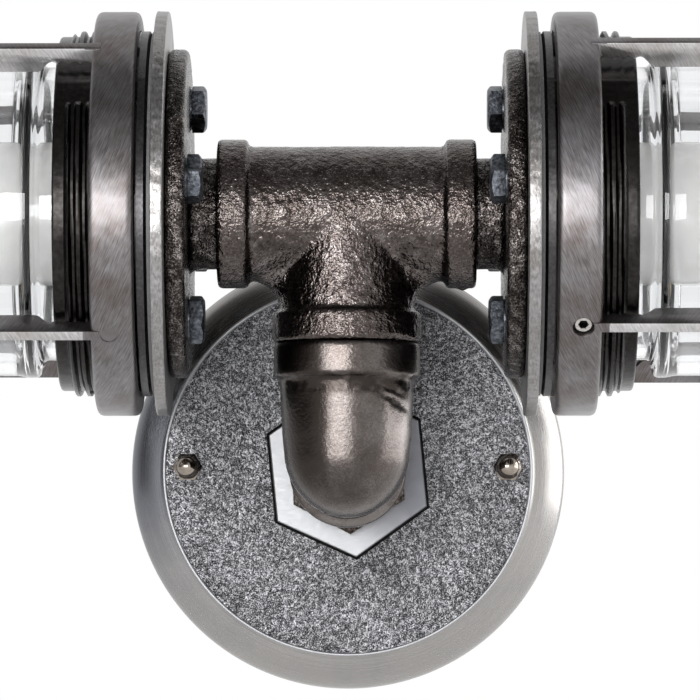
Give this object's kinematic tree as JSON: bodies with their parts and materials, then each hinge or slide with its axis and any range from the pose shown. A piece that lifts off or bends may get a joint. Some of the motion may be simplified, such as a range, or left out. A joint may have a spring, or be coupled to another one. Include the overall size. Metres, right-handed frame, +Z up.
{
  "type": "vanity light",
  "caption": "Wall light of iron pipe fittings: a tee on a reducing elbow and round canopy carries clear glass jar lamps in ribbed cast guards, end to end.",
  "frame": {"origin": "middle of the canopy's back, on the wall plane, at the crossbar's screw pattern", "axes": "+X right along the lamps as seen from the room, +Y into the wall, +Z up"},
  "size_m": [0.4066, 0.1091, 0.1747],
  "materials": {
    "malleable_iron": "dark oiled malleable iron, cast skin",
    "bushing_iron": "brown malleable iron",
    "black_casting": "black rough casting",
    "bolt_oxide": "blue grey oxide",
    "raw_steel": "raw steel, rough cut edge",
    "body_casting": "dark brown cast body",
    "guard_metal": "brushed gunmetal casting",
    "stainless": "stainless",
    "clear_glass": "clear pressed glass",
    "bulb_clear": "thin clear glass",
    "gasket_rubber": "black rubber",
    "porcelain": "white glazed porcelain",
    "brass": "plain brass",
    "black_glass": "black vitrite glass",
    "filament_wire": "tungsten wire",
    "zinc_steel": "zinc plated steel",
    "ground_green": "green screw",
    "nickel": "polished nickel plate",
    "plate_cast": "stippled casting, dark recesses",
    "canopy_metal": "satin spun metal"
  },
  "bodies": {
    "fixture": {"pipe_tee": "malleable_iron", "reducing_elbow": "malleable_iron", "hex_bushing": "bushing_iron", "branch_nipple": "zinc_steel", "wall_nipple": "zinc_steel", "back_locknut": "zinc_steel", "crossbar": "zinc_steel", "canopy_studs": "zinc_steel", "ground_screw": "ground_green", "cap_nuts": "nickel", "face_plate": "plate_cast", "canopy": "canopy_metal", "left_pipe_flange": "black_casting", "left_flange_bolts": "bolt_oxide", "left_mounting_disc": "raw_steel", "left_body_gasket": "gasket_rubber", "left_lamp_body": "body_casting", "left_lampholder": "porcelain", "left_lampholder_screws": "brass", "left_screw_shell": "brass", "left_centre_contact": "brass", "right_pipe_flange": "black_casting", "right_flange_bolts": "bolt_oxide", "right_mounting_disc": "raw_steel", "right_body_gasket": "gasket_rubber", "right_lamp_body": "body_casting", "right_lampholder": "porcelain", "right_lampholder_screws": "brass", "right_screw_shell": "brass", "right_centre_contact": "brass"},
    "left_guard_body": {"left_guard": "guard_metal", "left_set_screw": "stainless"},
    "left_jar_seal": {"left_jar_gasket": "gasket_rubber"},
    "left_jar": {"left_glass_jar": "clear_glass"},
    "left_bulb_tip": {"left_bulb_contact": "brass"},
    "left_bulb": {"left_bulb_insulator": "black_glass", "left_bulb_cap": "brass", "left_bulb_glass": "bulb_clear", "left_bulb_stem": "bulb_clear", "left_bulb_filament": "filament_wire"},
    "right_guard_body": {"right_guard": "guard_metal", "right_set_screw": "stainless"},
    "right_jar_seal": {"right_jar_gasket": "gasket_rubber"},
    "right_jar": {"right_glass_jar": "clear_glass"},
    "right_bulb_tip": {"right_bulb_contact": "brass"},
    "right_bulb": {"right_bulb_insulator": "black_glass", "right_bulb_cap": "brass", "right_bulb_glass": "bulb_clear", "right_bulb_stem": "bulb_clear", "right_bulb_filament": "filament_wire"}
  },
  "joints": [
    {"name": "left_guard_off", "type": "slide", "parent": "fixture", "child": "left_guard_body", "axis": [-1, 0, 0], "range_m": [0, 0.14]},
    {"name": "left_jar_travel", "type": "slide", "parent": "fixture", "child": "left_jar_seal", "axis": [-1, 0, 0], "range_m": [0, 0.0127]},
    {"name": "left_jar_turn", "type": "hinge", "parent": "left_jar_seal", "child": "left_jar", "pos_m": [-0.06, -0.057, 0.0649], "axis": [-1, 0, 0], "range_deg": [0, 1080]},
    {"name": "left_bulb_travel", "type": "slide", "parent": "fixture", "child": "left_bulb_tip", "axis": [-1, 0, 0], "range_m": [0, 0.0127]},
    {"name": "left_bulb_turn", "type": "hinge", "parent": "left_bulb_tip", "child": "left_bulb", "pos_m": [-0.06, -0.057, 0.0649], "axis": [-1, 0, 0], "range_deg": [0, 1260]},
    {"name": "right_guard_off", "type": "slide", "parent": "fixture", "child": "right_guard_body", "axis": [1, 0, 0], "range_m": [0, 0.14]},
    {"name": "right_jar_travel", "type": "slide", "parent": "fixture", "child": "right_jar_seal", "axis": [1, 0, 0], "range_m": [0, 0.0127]},
    {"name": "right_jar_turn", "type": "hinge", "parent": "right_jar_seal", "child": "right_jar", "pos_m": [0.06, -0.057, 0.0649], "axis": [1, 0, 0], "range_deg": [0, 1080]},
    {"name": "right_bulb_travel", "type": "slide", "parent": "fixture", "child": "right_bulb_tip", "axis": [1, 0, 0], "range_m": [0, 0.0127]},
    {"name": "right_bulb_turn", "type": "hinge", "parent": "right_bulb_tip", "child": "right_bulb", "pos_m": [0.06, -0.057, 0.0649], "axis": [1, 0, 0], "range_deg": [0, 1260]}
  ],
  "couplings": [
    {"joint": "left_jar_travel", "follows": "left_jar_turn", "m_per_rad": 0.000673},
    {"joint": "left_bulb_travel", "follows": "left_bulb_turn", "m_per_rad": 0.000577},
    {"joint": "right_jar_travel", "follows": "right_jar_turn", "m_per_rad": 0.000673},
    {"joint": "right_bulb_travel", "follows": "right_bulb_turn", "m_per_rad": 0.000577}
  ]
}
